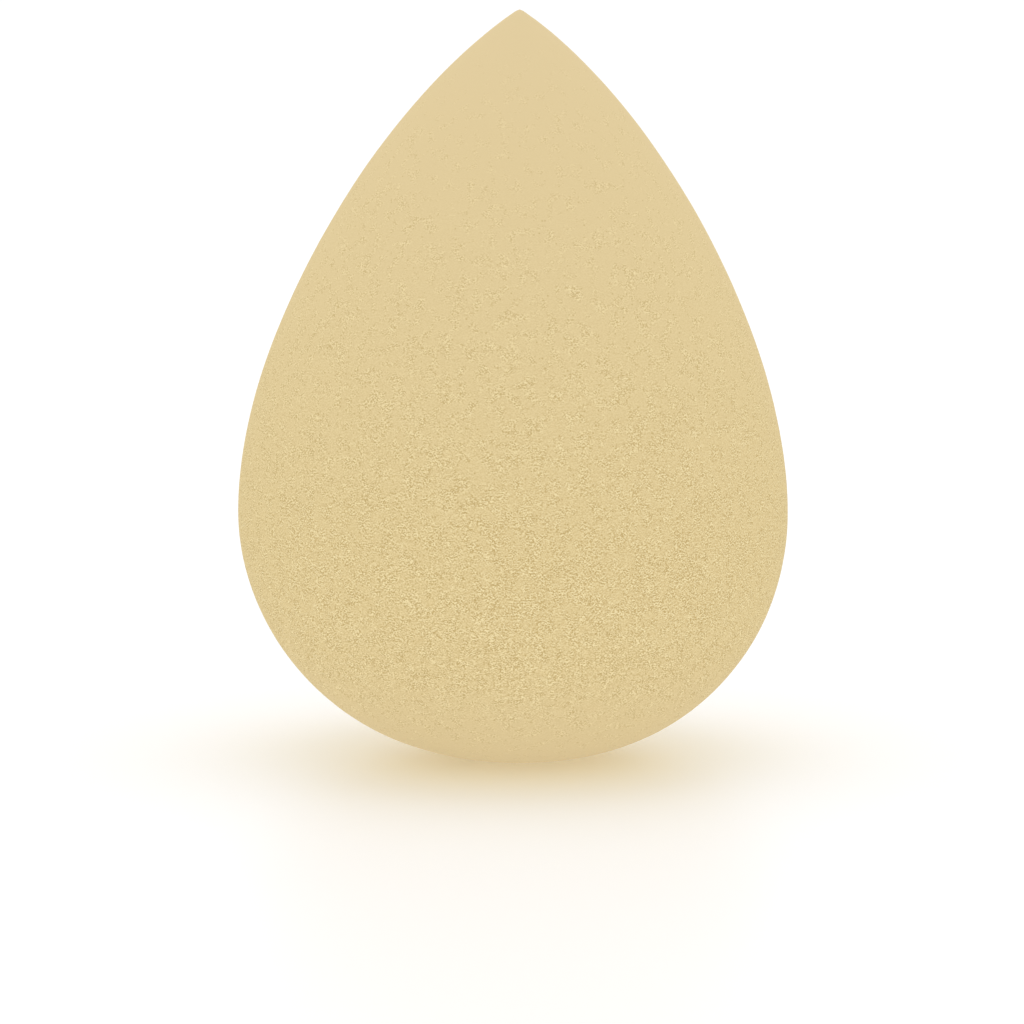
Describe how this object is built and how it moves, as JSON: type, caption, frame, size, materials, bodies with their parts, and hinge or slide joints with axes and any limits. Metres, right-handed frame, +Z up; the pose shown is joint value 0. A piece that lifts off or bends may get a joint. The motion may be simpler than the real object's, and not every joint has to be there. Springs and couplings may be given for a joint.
{
  "type": "makeup sponge",
  "caption": "Teardrop makeup sponge of soft fine-celled foam, with a pointed tip for detail, a rounded bowl for blending and a small flat foot to stand on.",
  "frame": {"origin": "centre of the small flat that the sponge stands on", "axes": "+Z up the sponge's own axis, from the foot to the tip; the sponge is round about Z, and the picture looks along +Y with +X to the right"},
  "size_m": [0.044, 0.044, 0.06],
  "materials": {
    "foam": "matte open-cell polyurethane foam, warm cream, fine cells of about 0.2 mm, no skin and no print"
  },
  "bodies": {
    "root": {"foam_body": "foam"}
  },
  "joints": []
}
